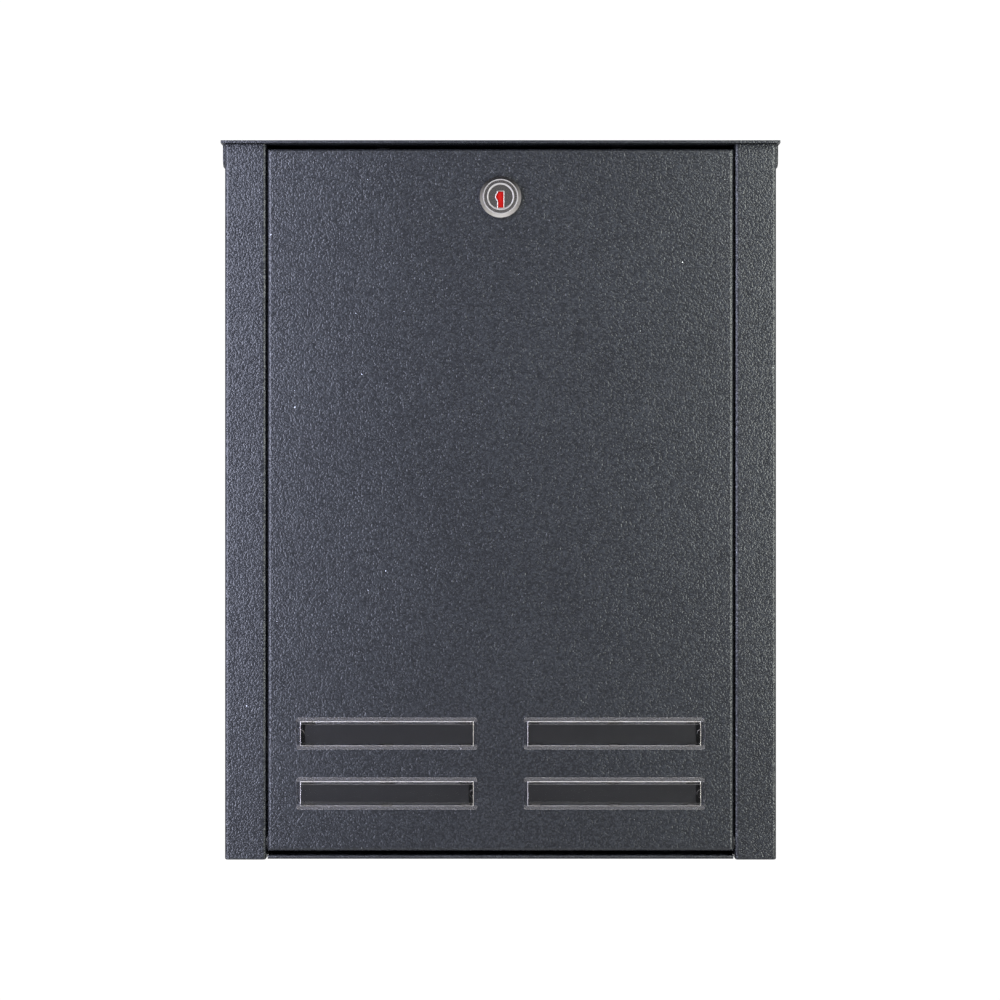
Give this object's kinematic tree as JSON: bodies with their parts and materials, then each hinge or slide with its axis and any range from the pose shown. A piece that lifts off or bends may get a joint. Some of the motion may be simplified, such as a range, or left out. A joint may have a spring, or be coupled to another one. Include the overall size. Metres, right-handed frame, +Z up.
{
  "type": "wall mounted mailbox",
  "caption": "Locking sheet steel mailbox for a wall, with a top lid for letters, a front door that drops forward on two pins, and clear name plates.",
  "frame": {"origin": "centre of the rectangle of wall holes, on the back face that lies on the wall", "axes": "+X to the right of somebody facing the front, +Y into the wall, +Z up"},
  "size_m": [0.314, 0.144, 0.4051],
  "materials": {
    "powder_coat": "fine textured powder coat, dark anthracite with a faint metallic fleck",
    "nickel_plate": "bright nickel plate on zinc",
    "zinc_plate": "clear passivated zinc plate on steel",
    "brass": "plain stamped brass",
    "clear_plastic": "polished clear plastic",
    "black_plastic": "matte black plastic",
    "nylon": "black nylon",
    "rubber": "black rubber",
    "red_plastic": "glossy red plastic"
  },
  "bodies": {
    "cabinet": {"body_shell": "powder_coat", "bottom_panel": "powder_coat", "front_top_rail": "powder_coat", "rear_top_panel": "powder_coat", "hinge_leaf_fixed": "powder_coat", "hinge_rod": "zinc_plate", "lid_bumpers": "rubber", "door_bumpers": "rubber", "door_pin_left": "zinc_plate", "door_pin_right": "zinc_plate"},
    "lid": {"lid_panel": "powder_coat", "hinge_leaf_lid": "powder_coat"},
    "door": {"door_panel": "powder_coat", "door_bush_left": "nylon", "door_bush_right": "nylon", "lock_housing": "nickel_plate", "lock_nut": "zinc_plate", "lock_washer": "zinc_plate", "name_cover_upper_left": "clear_plastic", "name_cover_upper_right": "clear_plastic", "name_cover_lower_left": "clear_plastic", "name_cover_lower_right": "clear_plastic", "name_backing_upper_left": "black_plastic", "name_backing_upper_right": "black_plastic", "name_backing_lower_left": "black_plastic", "name_backing_lower_right": "black_plastic"},
    "lock_rotor": {"lock_plug": "nickel_plate", "lock_wafers": "brass", "lock_cam": "zinc_plate", "cam_washer": "zinc_plate", "cam_screw": "zinc_plate", "shutter_pin": "zinc_plate"},
    "shutter": {"key_shutter": "red_plastic"}
  },
  "joints": [
    {"name": "lid_hinge", "type": "hinge", "parent": "cabinet", "child": "lid", "pos_m": [0, -0.02435, 0.20205], "axis": [-1, 0, 0], "range_deg": [0, 95]},
    {"name": "door_hinge", "type": "hinge", "parent": "cabinet", "child": "door", "pos_m": [0, -0.135, -0.1911], "axis": [1, 0, 0], "range_deg": [0, 105]},
    {"name": "lock_turn", "type": "hinge", "parent": "door", "child": "lock_rotor", "pos_m": [0, -0.135, 0.1714], "axis": [0, -1, 0], "range_deg": [0, 90]},
    {"name": "shutter_swing", "type": "hinge", "parent": "lock_rotor", "child": "shutter", "pos_m": [0.0022, -0.14125, 0.1714], "axis": [0, 0, -1], "range_deg": [0, 90], "stiffness_Nm_per_rad": 0.0005, "springref_deg": -17.19}
  ]
}
